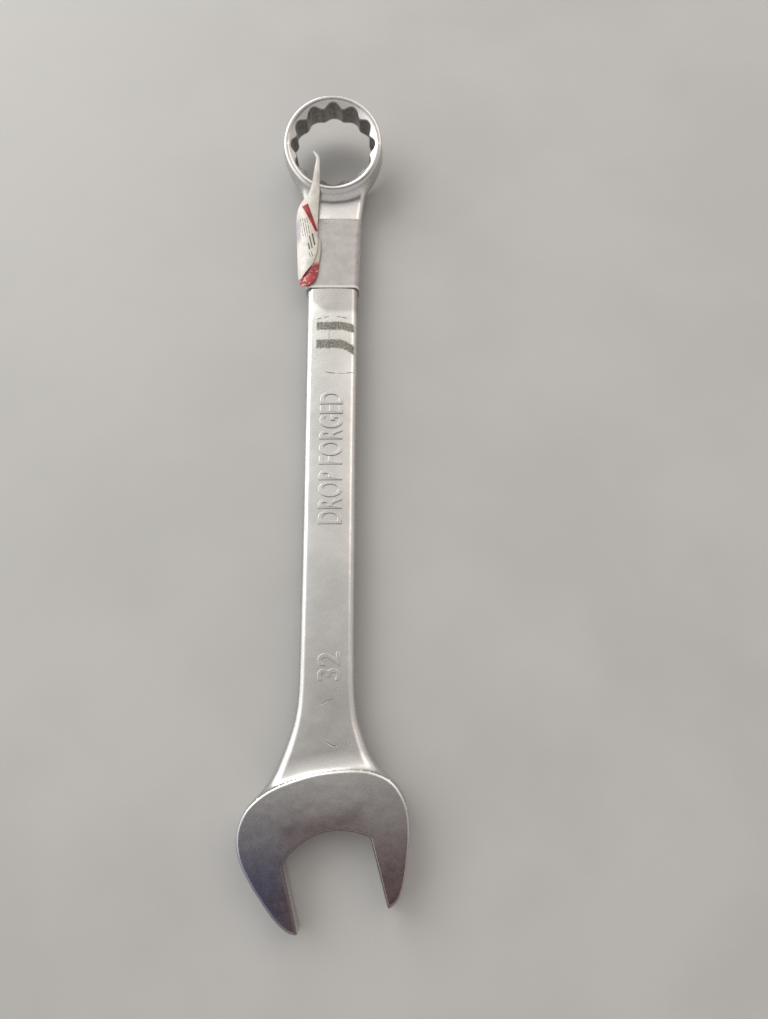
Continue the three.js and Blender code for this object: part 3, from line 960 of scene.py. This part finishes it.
def area_light(name, place_m, target_m, size, power, color):
    data = bpy.data.lights.new(name, "AREA")
    data.shape = "RECTANGLE"
    data.size, data.size_y = size
    data.energy = power
    data.color = color
    light = bpy.data.objects.new(name, data)
    bpy.context.collection.objects.link(light)
    light.location = place_m
    light.rotation_euler = (Vector(target_m) - Vector(place_m)).to_track_quat("-Z", "Y").to_euler()


area_light("key", (-0.75, 0.85, 0.72), (0, 0.05, 0), (1.4, 1.0), 11.0, (1.0, 0.99, 0.97))


# The room's brightness: steps along Y as (from, to, colour), then round patches as
# (direction, outer and inner angle in degrees, colour).
SKY_OVERHEAD = (0.050, 0.034, 0.040)
SKY_STEPS = (
    (-0.24, 0.20, (0.80, 0.78, 0.75)),
    (0.30, 0.60, (1.02, 0.99, 0.95)),
    (-0.26, -0.50, (0.66, 0.63, 0.62)),
)
SKY_PATCHES = (
    ((-1, 0.25, 0.45), 56, 24, (1.55, 1.58, 1.60)),
    ((0.42, 0.50, 0.76), 26, 8, (2.1, 1.95, 1.82)),
    ((1, 0.0, 0.25), 40, 20, (0.80, 0.74, 0.70)),
    ((-0.15, 0.74, 0.65), 12, 5, (0.34, 0.32, 0.31)),
)


def studio_world():
    """A soft room: dark and brownish overhead, bright beyond the ring and on the left."""
    world = bpy.data.worlds.new("studio")
    world.use_nodes = True
    tree = world.node_tree
    background = tree.nodes["Background"]
    direction = tree.nodes.new("ShaderNodeTexCoord").outputs["Generated"]
    split = tree.nodes.new("ShaderNodeSeparateXYZ")
    tree.links.new(direction, split.inputs[0])

    def ramp(value, low, high):
        node = tree.nodes.new("ShaderNodeMapRange")
        node.interpolation_type = "SMOOTHSTEP"
        tree.links.new(value, node.inputs["Value"])
        node.inputs["From Min"].default_value = low
        node.inputs["From Max"].default_value = high
        return node.outputs["Result"]

    def patch(toward, outer, inner):
        dot = tree.nodes.new("ShaderNodeVectorMath")
        dot.operation = "DOT_PRODUCT"
        tree.links.new(direction, dot.inputs[0])
        dot.inputs[1].default_value = Vector(toward).normalized()
        return ramp(dot.outputs["Value"], math.cos(math.radians(outer)), math.cos(math.radians(inner)))

    def mix(share, a, b):
        node = tree.nodes.new("ShaderNodeMix")
        node.data_type = "RGBA"
        tree.links.new(share, node.inputs[0])
        for socket, value in ((node.inputs[6], a), (node.inputs[7], b)):
            if isinstance(value, bpy.types.NodeSocket):
                tree.links.new(value, socket)
            else:
                socket.default_value = (*value, 1)
        return node.outputs[2]

    sky = SKY_OVERHEAD
    for low, high, color in SKY_STEPS:
        sky = mix(ramp(split.outputs["Y"], low, high), sky, color)
    for toward, outer, inner, color in SKY_PATCHES:
        sky = mix(patch(toward, outer, inner), sky, color)
    tree.links.new(sky, background.inputs["Color"])
    background.inputs["Strength"].default_value = 1.0
    bpy.context.scene.world = world


studio_world()
bpy.context.scene.view_settings.view_transform = "Standard"

# The camera stands nearly over the wrench, a little towards its open end.
CAMERA_PLACE = np.array([19.75, 31.92, 306.49])
CAMERA_RIGHT = Vector((0.99996, -0.00606, 0.00694))
CAMERA_UP = Vector((0.00377, 0.95638, 0.2921))
CAMERA_LENS = 27.1
camera_data = bpy.data.cameras.new("camera")
camera_data.sensor_fit = "AUTO"
camera_data.sensor_width = 36
camera_data.lens = CAMERA_LENS
camera = bpy.data.objects.new("camera", camera_data)
bpy.context.collection.objects.link(camera)
back = CAMERA_RIGHT.cross(CAMERA_UP)
axes = Matrix((CAMERA_RIGHT, CAMERA_UP, back)).transposed().to_4x4()
camera.matrix_world = Matrix.Translation(place(CAMERA_PLACE).tolist()) @ axes
bpy.context.scene.camera = camera
